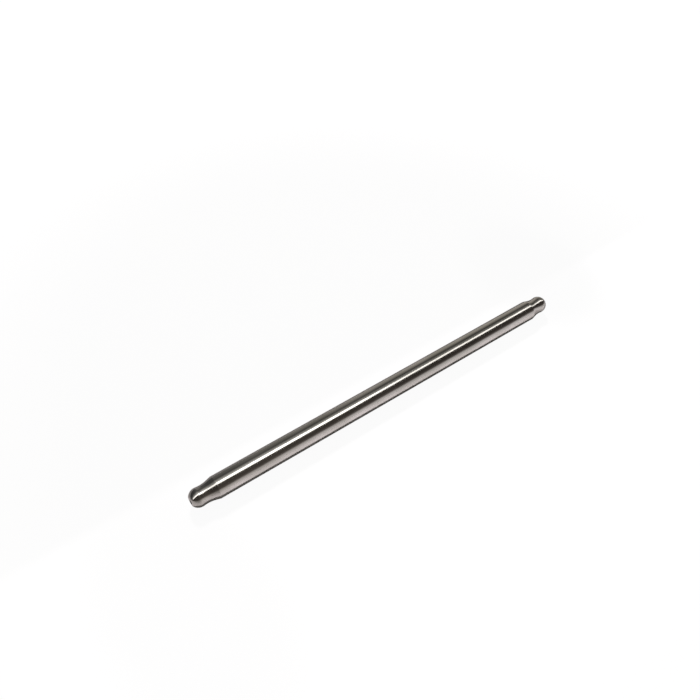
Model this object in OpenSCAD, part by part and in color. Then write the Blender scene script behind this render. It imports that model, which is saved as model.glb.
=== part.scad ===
// Engine pushrod: one hollow steel rod with a ball formed on each end.
// The rod lies along X with its middle at the origin. Lengths are in millimetres.

/* [Tube] */
// Length of the rod over the flats on its two tips
rod_length = 193; // [120:0.5:300]
// Outside diameter of the tube
tube_d = 9.525; // [8.8:0.025:11.2]
// Thickness of the tube's wall
tube_wall = 2.03; // [1.2:0.01:2.8]

/* [Ball ends] */
// Diameter of the ball
ball_d = 7.9375; // [7.75:0.0125:8.6]
// Diameter of the flat on the ball's tip
tip_flat_d = 4.1; // [3.7:0.1:5]
// Least diameter of the neck behind the ball
neck_d = 7.66; // [7:0.02:7.8]
// Radius of the hollow curve that runs from the ball into the cone
neck_curve_r = 12.5; // [6:0.5:25]
// Slope of the cone between the neck and the tube, from the axis, in degrees
cone_slope = 14.5; // [8:0.5:30]

/* [Oil passage] */
// Diameter of the oil hole through each ball
oil_hole_d = 2.4; // [1.6:0.1:3]
// Width of the chamfer around the mouth of the oil hole
mouth_chamfer = 0.3; // [0.1:0.05:0.35]
// Length of the solid end that the oil hole runs through
solid_end = 9.4; // [5:0.1:14]
// Slope of the inner cone that opens the oil hole to the bore, from the axis, in degrees
bore_cone_slope = 30; // [20:1:60]

/* [Hidden] */
$fn = 128;

tube_r = tube_d / 2;
bore_r = tube_r - tube_wall;
ball_r = ball_d / 2;
oil_hole_r = oil_hole_d / 2;
half_length = rod_length / 2;

// Cutting shapes run past the stock by this much
overrun = 2;
// The neck curve bites this far into the ball and the cone, so that they meet on clear lines
blend_bite = 0.002;

// Distance from the ball's centre to the flat on its tip
tip_reach = sqrt(pow(ball_r, 2) - pow(tip_flat_d / 2, 2));

// The centre of the neck curve, from the axis and behind the ball's centre
curve_centre_r = neck_d / 2 + neck_curve_r;
curve_centre_back = sqrt(pow(ball_r + neck_curve_r - blend_bite, 2) - pow(curve_centre_r, 2));

// Where the neck curve leaves the ball, behind the ball's centre
ball_end_back = curve_centre_back * ball_r / (ball_r + neck_curve_r);

// Where the cone leaves the neck curve, and where it reaches the tube
cone_start_back = curve_centre_back + (neck_curve_r - blend_bite) * sin(cone_slope);
cone_start_r = curve_centre_r - (neck_curve_r - blend_bite) * cos(cone_slope);
shoulder_back = cone_start_back + (tube_r - cone_start_r) / tan(cone_slope);

// What is turned away outside the ball, with the ball's centre at the origin
module outside_of_ball() {
    difference() {
        translate([0, -ball_end_back]) square([tube_r + overrun, ball_end_back + tip_reach + overrun]);
        circle(ball_r);
    }
}

// What is turned away outside the cone, up to the curve that starts it
module outside_of_cone() {
    overrun_back = shoulder_back + overrun / tan(cone_slope);
    polygon([
        [curve_centre_r, -curve_centre_back],
        [cone_start_r, -cone_start_back],
        [tube_r + overrun, -overrun_back]
    ]);
}

// Everything turned away at one end to leave the ball, the neck and the cone
module end_cut() {
    outside_of_ball();
    translate([curve_centre_r, -curve_centre_back]) circle(neck_curve_r);
    outside_of_cone();
}

// Half of the oil passage, from the middle of the rod to its tip
module passage_half() {
    hole_start = half_length - solid_end;
    bore_end = hole_start - (bore_r - oil_hole_r) / tan(bore_cone_slope);
    polygon([
        [0, -overrun],
        [bore_r, -overrun],
        [bore_r, bore_end],
        [oil_hole_r, hole_start],
        [oil_hole_r, half_length - mouth_chamfer],
        [oil_hole_r + mouth_chamfer + overrun, half_length + overrun],
        [0, half_length + overrun]
    ]);
}

// The rod's section on one side of its axis, which runs up the page
module section() {
    difference() {
        translate([0, -half_length]) square([tube_r, rod_length]);
        for (end = [0, 1]) mirror([0, end]) {
            translate([0, half_length - tip_reach]) end_cut();
            passage_half();
        }
    }
}

// The whole rod: ball, neck, cone, tube and the oil passage through them, in bright ground steel
module pushrod() {
    color("#8d8b88") rotate([0, 90, 0]) rotate_extrude() section();
}

pushrod();
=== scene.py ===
"""Engine pushrod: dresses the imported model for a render, one ground steel rod on a white floor."""
import math

import bmesh
import bpy
from mathutils import Matrix, Vector


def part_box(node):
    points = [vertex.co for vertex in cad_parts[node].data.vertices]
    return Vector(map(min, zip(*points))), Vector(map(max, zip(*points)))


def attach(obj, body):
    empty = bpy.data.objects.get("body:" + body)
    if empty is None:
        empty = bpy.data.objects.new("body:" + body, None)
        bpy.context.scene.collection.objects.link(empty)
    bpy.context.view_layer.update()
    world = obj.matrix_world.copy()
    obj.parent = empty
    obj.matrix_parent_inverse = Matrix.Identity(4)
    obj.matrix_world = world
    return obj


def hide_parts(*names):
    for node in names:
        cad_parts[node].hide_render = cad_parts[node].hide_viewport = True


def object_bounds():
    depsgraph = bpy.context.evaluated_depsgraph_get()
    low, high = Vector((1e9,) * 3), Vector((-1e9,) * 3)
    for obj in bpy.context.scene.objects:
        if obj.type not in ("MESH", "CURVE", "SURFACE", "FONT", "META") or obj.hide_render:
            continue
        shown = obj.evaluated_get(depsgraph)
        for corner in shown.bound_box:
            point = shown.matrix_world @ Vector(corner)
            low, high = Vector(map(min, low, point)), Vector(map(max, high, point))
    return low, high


bl_info = {
    "name": "Engine pushrod",
    "version": (1, 0, 0),
    "blender": (4, 5, 0),
    "location": "3D View > Sidebar > Pushrod",
    "description": "Builds a hollow ground steel pushrod with a ball on each end, and a white studio",
    "category": "Object",
}

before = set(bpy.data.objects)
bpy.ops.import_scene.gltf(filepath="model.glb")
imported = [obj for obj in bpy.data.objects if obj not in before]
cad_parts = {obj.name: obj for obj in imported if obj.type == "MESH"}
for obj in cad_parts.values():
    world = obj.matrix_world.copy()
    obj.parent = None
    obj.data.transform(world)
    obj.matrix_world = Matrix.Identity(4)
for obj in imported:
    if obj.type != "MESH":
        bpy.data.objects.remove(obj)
CAD_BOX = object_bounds()
ROD_LOW, ROD_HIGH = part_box("pushrod")
MM = 0.001

# Points closer than this, in metres, are one point.
MERGE_DISTANCE = 1e-7

# The camera stands above and in front of the rod's near end, which is at -X.
# The lens is for a 36 mm wide sensor.
CAMERA_PLACE = Vector((-134.50, -124.15, 245.93)) * MM
CAMERA_RIGHT = Vector((0.80526, -0.58839, 0.07323))
CAMERA_UP = Vector((0.42061, 0.65391, 0.62887))
CAMERA_LENS = 36.0
SENSOR_WIDTH = 36.0
CAMERA_NEAREST = 5 * MM

# Half the side of the square floor, and the height of the nets above it.
FLOOR_REACH = 2.5
NET_HEIGHT = 25 * MM

# Softboxes: the place, the point each one faces, its size along and across the rod in metres, its watts
# and its colour.
STRIP_SOFTBOX = {
    "place": (0.5, -0.02, 1.2), "aim": (0.5, -0.02, 0), "size": (8.0, 0.3), "watts": 18.2,
    "colour": (1.0, 0.985, 0.955),
}
WIDE_SOFTBOX = {
    "place": (0.32, -0.02, 1.19), "aim": (0.32, -0.02, 0), "size": (0.41, 0.43), "watts": 1.15,
    "colour": (1.0, 0.985, 0.955),
}
FLOOR_SOFTBOX = {
    "place": (0.35, 0.97, 1.1), "aim": (0, 0, 0), "size": (0.16, 0.16), "watts": 40.0,
    "colour": (1.0, 0.925, 0.95),
}

# Nets: two corners of each, the middle of its close part, how far it reaches from there in x and y, and
# the share of light that the close part lets through.
NETS = {
    "back_net": {
        "low": (-0.227, 0.034), "high": (0.253, 0.284), "centre": (0.013, 0.034), "reach": (0.24, 0.25),
        "passes": 0.3},
    "end_net": {
        "low": (-0.147, -0.08), "high": (-0.062, 0.034), "centre": (-0.104, -0.01), "reach": (0.04, 0.07),
        "passes": 0.68},
    "far_net": {
        "low": (0.078, -0.008), "high": (0.158, 0.092), "centre": (0.118, 0.042), "reach": (0.04, 0.05),
        "passes": 0.35},
}

# Tone of the room, by the angle up from the front: 0 is level in front, 0.5 overhead, 1 level behind.
# Each row has the tone towards the near end of the rod, then towards its far end.
ROOM_TONES = (
    (0.00, "#f2ebe9", "#fbf8f8"),
    (0.05, "#e8e1df", "#efebeb"),
    (0.11, "#c2bcb8", "#d2cecd"),
    (0.155, "#6c655f", "#645e5b"),
    (0.25, "#544d47", "#38322e"),
    (0.505, "#544d47", "#342e2a"),
    (0.53, "#ffffff", "#a8a7a2"),
    (0.60, "#dcdbd7", "#8c8b87"),
    (0.66, "#a2a19d", "#64635f"),
    (0.73, "#545350", "#3c3b37"),
    (0.84, "#5c5c5a", "#a5a099"),
    (0.93, "#595957", "#ccc7bd"),
)
# A look is the X part of a direction. The near tones hold up to the first of these looks, the far tones
# from the second.
NEAR_END_LOOK, FAR_END_LOOK = 0.13, 0.54
# Beyond the near end the room falls off, down to this share of its tones at this look.
BEYOND_NEAR_LOOK, BEYOND_NEAR_SHARE = -0.29, 0.55


def linear(hex_colour):
    """Turn an sRGB hex colour into the linear values that the shaders take."""
    values = []
    for place in (1, 3, 5):
        value = int(hex_colour[place:place + 2], 16) / 255
        values.append(value / 12.92 if value <= 0.04045 else ((value + 0.055) / 1.055) ** 2.4)
    return (*values, 1.0)


def add_node(tree, kind, links=None, **settings):
    """Add a node, set its options by name, and link or set the inputs given for it."""
    node = tree.nodes.new(kind)
    for name, value in settings.items():
        setattr(node, name, value)
    for socket, source in (links or {}).items():
        target = node.inputs[socket]
        if isinstance(source, bpy.types.NodeSocket):
            tree.links.new(source, target)
        else:
            target.default_value = source
    return node


class PushrodSizes(bpy.types.PropertyGroup):
    """Lengths of the pushrod, in metres."""
    rod_length: bpy.props.FloatProperty(
        name="Rod length", description="From the flat on one ball to the flat on the other",
        default=ROD_HIGH[0] - ROD_LOW[0], unit="LENGTH", precision=5)
    tube_d: bpy.props.FloatProperty(
        name="Tube diameter", description="Outside diameter of the plain tube",
        default=9.525 * MM, unit="LENGTH", precision=5)
    bore_d: bpy.props.FloatProperty(
        name="Bore diameter", description="Inside diameter of the plain tube",
        default=5.465 * MM, unit="LENGTH", precision=5)
    ball_d: bpy.props.FloatProperty(
        name="Ball diameter", description="Diameter of the ball on each end",
        default=7.9375 * MM, unit="LENGTH", precision=5)
    tip_flat_d: bpy.props.FloatProperty(
        name="Tip flat", description="Diameter of the flat that faces off each ball",
        default=4.1 * MM, unit="LENGTH", precision=5)
    neck_d: bpy.props.FloatProperty(
        name="Neck diameter", description="Least diameter behind the ball",
        default=7.66 * MM, unit="LENGTH", precision=5)
    neck_curve_r: bpy.props.FloatProperty(
        name="Neck curve", description="Radius of the hollow curve between ball and cone",
        default=12.5 * MM, unit="LENGTH", precision=5)
    cone_slope: bpy.props.FloatProperty(
        name="Cone slope", description="Slope of the cone that opens to the tube, from the axis",
        default=math.radians(14.5), subtype="ANGLE")
    oil_hole_d: bpy.props.FloatProperty(
        name="Oil hole", description="Diameter of the oil hole through each ball",
        default=2.4 * MM, unit="LENGTH", precision=5)
    mouth_chamfer: bpy.props.FloatProperty(
        name="Mouth chamfer", description="Chamfer on the rim of each oil hole",
        default=0.3 * MM, unit="LENGTH", precision=5)
    solid_end: bpy.props.FloatProperty(
        name="Solid end", description="Depth from the tip to where the oil hole opens into the bore",
        default=9.4 * MM, unit="LENGTH", precision=5)
    bore_cone_slope: bpy.props.FloatProperty(
        name="Bore cone slope",
        description="Slope of the cone from the oil hole to the bore, from the axis",
        default=math.radians(30), subtype="ANGLE")


class PushrodFinish(bpy.types.PropertyGroup):
    """Colours of the steel and of the studio, as sRGB hex values."""
    steel: bpy.props.StringProperty(
        name="Steel", description="Colour of the ground steel", default="#bebbb8")
    steel_tint: bpy.props.StringProperty(
        name="Steel in patches", description="Colour that the steel drifts to in soft patches",
        default="#aeaca7")
    floor: bpy.props.StringProperty(
        name="Floor", description="Colour of the floor", default="#f4f4f4")


def line_to(bm, vertex, x, r):
    """Draw a straight line of the outline from a vertex to the point at x along the axis and r from it."""
    reached = bmesh.ops.extrude_vert_indiv(bm, verts=[vertex])["verts"][0]
    reached.co = (x, 0, r)
    return reached


def arc_about(bm, vertex, x, r, angle, steps):
    """Draw an arc of the outline from a vertex, about the point at x along the axis and r from it."""
    turned = bmesh.ops.spin(bm, geom=[vertex], cent=(x, 0, r), axis=(0, 1, 0), angle=angle, steps=steps)
    return next(item for item in turned["geom_last"] if isinstance(item, bmesh.types.BMVert))


def draw_half_outline(bm, sizes):
    """Draw the cut face of the wall's half on +X as lines and arcs, and list the corners that are eased."""
    ball_steps, neck_steps = 26, 18
    # Points this far on both sides of the shoulder keep its shading clear.
    hold = 0.4 * MM
    half = sizes.rod_length / 2
    tube_r, bore_r = sizes.tube_d / 2, sizes.bore_d / 2
    ball_r, flat_r = sizes.ball_d / 2, sizes.tip_flat_d / 2
    hole_r = sizes.oil_hole_d / 2
    ball_x = half - math.sqrt(ball_r ** 2 - flat_r ** 2)
    curve_r = sizes.neck_curve_r
    curve_centre_r = sizes.neck_d / 2 + curve_r
    curve_x = ball_x - math.sqrt((ball_r + curve_r) ** 2 - curve_centre_r ** 2)
    ball_from = math.asin(flat_r / ball_r)
    ball_to = math.atan2(curve_centre_r, curve_x - ball_x)
    neck_turn = math.pi / 2 - math.atan2(curve_centre_r, ball_x - curve_x) + sizes.cone_slope
    slope = math.tan(sizes.cone_slope)
    cone_x = curve_x - curve_r * math.sin(sizes.cone_slope)
    cone_r = curve_centre_r - curve_r * math.cos(sizes.cone_slope)
    shoulder_x = cone_x - (tube_r - cone_r) / slope
    bore_x = half - sizes.solid_end - (bore_r - hole_r) / math.tan(sizes.bore_cone_slope)

    mouth = bm.verts.new((half, 0, hole_r + sizes.mouth_chamfer))
    flat_edge = line_to(bm, mouth, half, flat_r)
    ball_end = arc_about(bm, flat_edge, ball_x, 0, -(ball_to - ball_from), ball_steps)
    neck_end = arc_about(bm, ball_end, curve_x, curve_centre_r, neck_turn, neck_steps)
    before = line_to(bm, neck_end, shoulder_x + hold, tube_r - hold * slope)
    shoulder = line_to(bm, before, shoulder_x, tube_r)
    after = line_to(bm, shoulder, shoulder_x - hold, tube_r)
    line_to(bm, after, 0, tube_r)

    hole_start = line_to(bm, mouth, half - sizes.mouth_chamfer, hole_r)
    hole_end = line_to(bm, hole_start, half - sizes.solid_end, hole_r)
    bore_start = line_to(bm, hole_end, bore_x, bore_r)
    line_to(bm, bore_start, 0, bore_r)
    return [flat_edge, shoulder]


def spin_pushrod(sizes):
    """Spin the wall's outline round the X axis into one closed mesh, with its corners eased."""
    spin_steps = 144
    corner_ease = 0.12 * MM
    crisp_angle = math.radians(24)
    bm = bmesh.new()
    corners = draw_half_outline(bm, sizes)
    bmesh.ops.bevel(
        bm, geom=corners, offset=corner_ease, offset_type="OFFSET", affect="VERTICES", segments=4,
        profile=0.5, material=-1)
    bmesh.ops.mirror(
        bm, geom=bm.verts[:] + bm.edges[:], matrix=Matrix.Identity(4), merge_dist=MERGE_DISTANCE, axis="X")
    bmesh.ops.remove_doubles(bm, verts=bm.verts, dist=MERGE_DISTANCE)
    bmesh.ops.spin(
        bm, geom=bm.verts[:] + bm.edges[:], cent=(0, 0, 0), axis=(1, 0, 0), angle=2 * math.pi,
        steps=spin_steps, use_merge=True)
    bmesh.ops.remove_doubles(bm, verts=bm.verts, dist=MERGE_DISTANCE)
    bmesh.ops.recalc_face_normals(bm, faces=bm.faces)
    for face in bm.faces:
        face.smooth = True
    for edge in bm.edges:
        edge.smooth = edge.is_manifold and edge.calc_face_angle() < crisp_angle
    open_edges = [edge for edge in bm.edges if not edge.is_manifold]
    if open_edges:
        raise RuntimeError(f"the spun rod is open at {len(open_edges)} edges")
    mesh = bpy.data.meshes.new("spun_pushrod")
    bm.to_mesh(mesh)
    bm.free()
    return mesh


def ground_steel(finish):
    """Ground and polished alloy steel tube.

    It was ground round on a centreless grinder, so the eye sees clear bands of the room along the rod,
    slightly blurred by fine rings, with soft patches where the tone drifts.
    """
    material = bpy.data.materials.new("ground_alloy_steel")
    material.use_nodes = True
    tree = material.node_tree
    tree.nodes.clear()
    place = add_node(tree, "ShaderNodeTexCoord")
    # Rings 0.35 mm wide, about ten times as coarse as real grinding marks, which are too fine to show here.
    # They change only slowly on their way round the rod.
    ring_pitch, ring_run = 0.35 * MM, 25 * MM
    ring_place = add_node(
        tree, "ShaderNodeMapping",
        {"Vector": place.outputs["Object"], "Scale": (1 / ring_pitch, 1 / ring_run, 1 / ring_run)})
    rings = add_node(
        tree, "ShaderNodeTexNoise", {"Vector": ring_place.outputs["Vector"], "Scale": 1.0, "Detail": 3.0})
    # Patches about 14 mm long and 6 mm wide, as polishing leaves them.
    patch_length, patch_width = 14.286 * MM, 5.882 * MM
    patch_place = add_node(
        tree, "ShaderNodeMapping",
        {"Vector": place.outputs["Object"], "Scale": (1 / patch_length, 1 / patch_width, 1 / patch_width)})
    patches = add_node(
        tree, "ShaderNodeTexNoise", {"Vector": patch_place.outputs["Vector"], "Scale": 1.0, "Detail": 2.0})
    drift = add_node(
        tree, "ShaderNodeMapRange", {"Value": patches.outputs["Fac"], "From Min": 0.35, "From Max": 0.65})
    colour = add_node(
        tree, "ShaderNodeMixRGB",
        {"Fac": drift.outputs["Result"], "Color1": linear(finish.steel),
         "Color2": linear(finish.steel_tint)})
    rough = add_node(
        tree, "ShaderNodeMapRange",
        {"Value": rings.outputs["Fac"], "From Min": 0.3, "From Max": 0.7, "To Min": 0.12, "To Max": 0.18})
    # A tilt of up to about an eighth of a degree from ring to ring.
    ring_depth = 0.0002 * MM
    relief = add_node(
        tree, "ShaderNodeBump", {"Height": rings.outputs["Fac"], "Strength": 1.0, "Distance": ring_depth})
    # The tint holds back the steel's edges, where it is seen at a low angle.
    steel = add_node(
        tree, "ShaderNodeBsdfPrincipled",
        {"Base Color": colour.outputs["Color"], "Roughness": rough.outputs["Result"],
         "Normal": relief.outputs["Normal"], "Metallic": 1.0, "Specular Tint": linear("#c0c0c0")})
    add_node(tree, "ShaderNodeOutputMaterial", {"Surface": steel.outputs["BSDF"]})
    return material


def white_floor(finish):
    """Gloss white acrylic sheet: even and bright, a mirror only at a low angle, with the rod's shadow on it.

    Most of what the camera sees of it is plain white, and the steel sees a little of it that way too.
    """
    seen_white, mirrored_white = 0.955, 0.03
    material = bpy.data.materials.new("white_acrylic_sheet")
    material.use_nodes = True
    tree = material.node_tree
    tree.nodes.clear()
    path = add_node(tree, "ShaderNodeLightPath")
    sheet = add_node(
        tree, "ShaderNodeBsdfPrincipled",
        {"Base Color": linear(finish.floor), "Roughness": 0.12, "IOR": 1.49})
    white = add_node(tree, "ShaderNodeEmission", {"Color": (1, 1, 1, 1), "Strength": 1.0})
    clear = add_node(
        tree, "ShaderNodeMath",
        {0: path.outputs["Is Camera Ray"], 1: path.outputs["Is Transmission Ray"]}, operation="MAXIMUM")
    seen = add_node(tree, "ShaderNodeMath", {0: clear.outputs[0], 1: seen_white}, operation="MULTIPLY")
    share = add_node(
        tree, "ShaderNodeMath",
        {0: path.outputs["Is Glossy Ray"], 1: mirrored_white, 2: seen.outputs[0]}, operation="MULTIPLY_ADD")
    mixed = add_node(
        tree, "ShaderNodeMixShader",
        {"Fac": share.outputs[0], 1: sheet.outputs["BSDF"], 2: white.outputs["Emission"]})
    add_node(tree, "ShaderNodeOutputMaterial", {"Surface": mixed.outputs["Shader"]})
    return material


def light_room():
    """Make the room: dim walls that run along the rod, paler near the floor, and white to the camera."""
    mirrored_white = 0.01
    world = bpy.data.worlds.new("dim_studio")
    world.use_nodes = True
    bpy.context.scene.world = world
    tree = world.node_tree
    tree.nodes.clear()
    place = add_node(tree, "ShaderNodeTexCoord")
    parts = add_node(tree, "ShaderNodeSeparateXYZ", {"Vector": place.outputs["Generated"]})
    height = add_node(tree, "ShaderNodeMath", {0: parts.outputs["Z"]}, operation="ABSOLUTE")
    front = add_node(tree, "ShaderNodeMath", {0: parts.outputs["Y"], 1: -1.0}, operation="MULTIPLY")
    angle = add_node(
        tree, "ShaderNodeMath", {0: height.outputs[0], 1: front.outputs[0]}, operation="ARCTAN2")
    turn = add_node(tree, "ShaderNodeMath", {0: angle.outputs[0], 1: math.pi}, operation="DIVIDE")
    ramps = []
    for column in (1, 2):
        tones = add_node(tree, "ShaderNodeValToRGB", {"Fac": turn.outputs[0]})
        ramp = tones.color_ramp
        while len(ramp.elements) < len(ROOM_TONES):
            ramp.elements.new(0.5)
        for element, row in zip(ramp.elements, ROOM_TONES):
            element.position = row[0]
            element.color = linear(row[column])
        ramps.append(tones)
    along = add_node(
        tree, "ShaderNodeMapRange",
        {"Value": parts.outputs["X"], "From Min": NEAR_END_LOOK, "From Max": FAR_END_LOOK})
    walls = add_node(
        tree, "ShaderNodeMixRGB",
        {"Fac": along.outputs["Result"], "Color1": ramps[0].outputs["Color"],
         "Color2": ramps[1].outputs["Color"]})
    falloff = add_node(
        tree, "ShaderNodeMapRange",
        {"Value": parts.outputs["X"], "From Min": BEYOND_NEAR_LOOK, "From Max": NEAR_END_LOOK,
         "To Min": BEYOND_NEAR_SHARE, "To Max": 1.0})
    dimmed = add_node(
        tree, "ShaderNodeMixRGB",
        {"Fac": 1.0, "Color1": walls.outputs["Color"], "Color2": falloff.outputs["Result"]},
        blend_type="MULTIPLY")
    path = add_node(tree, "ShaderNodeLightPath")
    clear = add_node(
        tree, "ShaderNodeMath",
        {0: path.outputs["Is Camera Ray"], 1: path.outputs["Is Transmission Ray"]}, operation="MAXIMUM")
    share = add_node(
        tree, "ShaderNodeMath",
        {0: path.outputs["Is Glossy Ray"], 1: mirrored_white, 2: clear.outputs[0]},
        operation="MULTIPLY_ADD")
    seen = add_node(
        tree, "ShaderNodeMixRGB",
        {"Fac": share.outputs[0], "Color1": dimmed.outputs["Color"], "Color2": (1, 1, 1, 1)})
    glow = add_node(tree, "ShaderNodeBackground", {"Color": seen.outputs["Color"], "Strength": 1.0})
    add_node(tree, "ShaderNodeOutputWorld", {"Surface": glow.outputs["Background"]})


def hang_lamp(name, place, aim, size, watts, colour):
    """Hang a flat softbox at a place, turned to face the aim point, with its long side along the rod."""
    lamp = bpy.data.lights.new(name, "AREA")
    lamp.shape = "RECTANGLE"
    lamp.size, lamp.size_y = size
    lamp.energy = watts
    lamp.color = colour
    box = bpy.data.objects.new(name, lamp)
    back = (Vector(place) - Vector(aim)).normalized()
    side = Vector((0, 1, 0)).cross(back).normalized()
    turn = Matrix((side, back.cross(side), back)).transposed()
    box.matrix_world = Matrix.Translation(place) @ turn.to_4x4()
    bpy.context.scene.collection.objects.link(box)
    return box


def hang_lights():
    """Hang a strip and a wide softbox over the rod for its steel to mirror, and one behind for the floor."""
    strip = hang_lamp("strip_softbox", **STRIP_SOFTBOX)
    strip.visible_diffuse = False
    wide = hang_lamp("wide_softbox", **WIDE_SOFTBOX)
    wide.visible_diffuse = False
    behind = hang_lamp("floor_softbox", **FLOOR_SOFTBOX)
    behind.visible_glossy = False


def lay_sheet(name, low, high, height, material):
    """Lay a flat sheet of the stage, from its low corner to its high one, at a height."""
    bm = bmesh.new()
    # A sheet one metre square, stretched to its size.
    bmesh.ops.create_grid(bm, x_segments=1, y_segments=1, size=0.5)
    bmesh.ops.scale(bm, verts=bm.verts, vec=(high[0] - low[0], high[1] - low[1], 1))
    middle = ((low[0] + high[0]) / 2, (low[1] + high[1]) / 2, height)
    bmesh.ops.translate(bm, verts=bm.verts, vec=middle)
    mesh = bpy.data.meshes.new(name)
    bm.to_mesh(mesh)
    bm.free()
    sheet = bpy.data.objects.new(name, mesh)
    sheet.data.materials.append(material)
    bpy.context.scene.collection.objects.link(sheet)
    return sheet


def black_net(centre, reach, passes):
    """Black scrim net, as studios hang it in a light's way: it lets a part of the light through.

    The mesh is close within half of its reach from the centre, and opens out to nothing at its end.
    """
    material = bpy.data.materials.new("black_scrim_net")
    material.use_nodes = True
    tree = material.node_tree
    tree.nodes.clear()
    place = add_node(tree, "ShaderNodeTexCoord")
    centred = add_node(
        tree, "ShaderNodeMapping",
        {"Vector": place.outputs["Object"], "Location": (-centre[0] / reach[0], -centre[1] / reach[1], 0),
         "Scale": (1 / reach[0], 1 / reach[1], 0)})
    closeness = add_node(
        tree, "ShaderNodeTexGradient", {"Vector": centred.outputs["Vector"]}, gradient_type="SPHERICAL")
    let_through = add_node(
        tree, "ShaderNodeMapRange",
        {"Value": closeness.outputs["Fac"], "From Min": 0.0, "From Max": 0.5, "To Min": 1.0,
         "To Max": passes},
        interpolation_type="SMOOTHSTEP")
    gauze = add_node(tree, "ShaderNodeBsdfTransparent", {"Color": let_through.outputs["Result"]})
    add_node(tree, "ShaderNodeOutputMaterial", {"Surface": gauze.outputs["BSDF"]})
    return material


def hang_net(name, height, low, high, centre, reach, passes):
    """Hang a net just above the floor, so that the steel mirrors a dimmer floor there.

    Nothing sees the net itself: it only takes light from the floor.
    """
    net = lay_sheet(name, low, high, height, black_net(centre, reach, passes))
    net.visible_camera = False
    net.visible_diffuse = False
    net.visible_glossy = False
    net.visible_transmission = False


def set_camera():
    """Stand the camera where it sees the rod from above its near end."""
    data = bpy.data.cameras.new("studio_camera")
    data.sensor_width = SENSOR_WIDTH
    data.lens = CAMERA_LENS
    data.clip_start = CAMERA_NEAREST
    camera = bpy.data.objects.new("studio_camera", data)
    right = CAMERA_RIGHT.normalized()
    back = right.cross(CAMERA_UP).normalized()
    up = back.cross(right)
    turn = Matrix((right, up, back)).transposed()
    camera.matrix_world = Matrix.Translation(CAMERA_PLACE) @ turn.to_4x4()
    bpy.context.scene.collection.objects.link(camera)
    bpy.context.scene.camera = camera


class OBJECT_OT_build_pushrod(bpy.types.Operator):
    """Spin the pushrod and give it its ground steel finish"""
    bl_idname = "object.build_pushrod"
    bl_label = "Build pushrod"

    def execute(self, context):
        piece = bpy.data.objects.new("spun_pushrod", spin_pushrod(context.scene.pushrod_sizes))
        piece.data.materials.append(ground_steel(context.scene.pushrod_finish))
        context.scene.collection.objects.link(piece)
        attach(piece, "root")
        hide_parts("pushrod")
        return {"FINISHED"}


class OBJECT_OT_build_pushrod_stage(bpy.types.Operator):
    """Lay the white floor, light the room and set the camera"""
    bl_idname = "object.build_pushrod_stage"
    bl_label = "Build stage"

    def execute(self, context):
        scene = context.scene
        scene.view_settings.view_transform = "Standard"
        floor_height = CAD_BOX[0][2]
        lay_sheet(
            "acrylic_floor", (-FLOOR_REACH, -FLOOR_REACH), (FLOOR_REACH, FLOOR_REACH), floor_height,
            white_floor(scene.pushrod_finish))
        for name, net in NETS.items():
            hang_net(name, floor_height + NET_HEIGHT, **net)
        light_room()
        hang_lights()
        set_camera()
        return {"FINISHED"}


class VIEW3D_PT_pushrod(bpy.types.Panel):
    """Sizes, colours and buttons of the pushrod"""
    bl_label = "Pushrod"
    bl_space_type = "VIEW_3D"
    bl_region_type = "UI"
    bl_category = "Pushrod"

    def draw(self, context):
        layout = self.layout
        for group in (context.scene.pushrod_sizes, context.scene.pushrod_finish):
            for name in group.__annotations__:
                layout.prop(group, name)
        layout.operator(OBJECT_OT_build_pushrod.bl_idname)
        layout.operator(OBJECT_OT_build_pushrod_stage.bl_idname)


CLASSES = (
    PushrodSizes,
    PushrodFinish,
    OBJECT_OT_build_pushrod,
    OBJECT_OT_build_pushrod_stage,
    VIEW3D_PT_pushrod,
)


def register():
    for item in CLASSES:
        bpy.utils.register_class(item)
    bpy.types.Scene.pushrod_sizes = bpy.props.PointerProperty(type=PushrodSizes)
    bpy.types.Scene.pushrod_finish = bpy.props.PointerProperty(type=PushrodFinish)


def unregister():
    del bpy.types.Scene.pushrod_finish
    del bpy.types.Scene.pushrod_sizes
    for item in reversed(CLASSES):
        bpy.utils.unregister_class(item)


def main():
    register()
    bpy.ops.object.build_pushrod_stage()
    bpy.ops.object.build_pushrod()


if __name__ == "__main__":
    main()
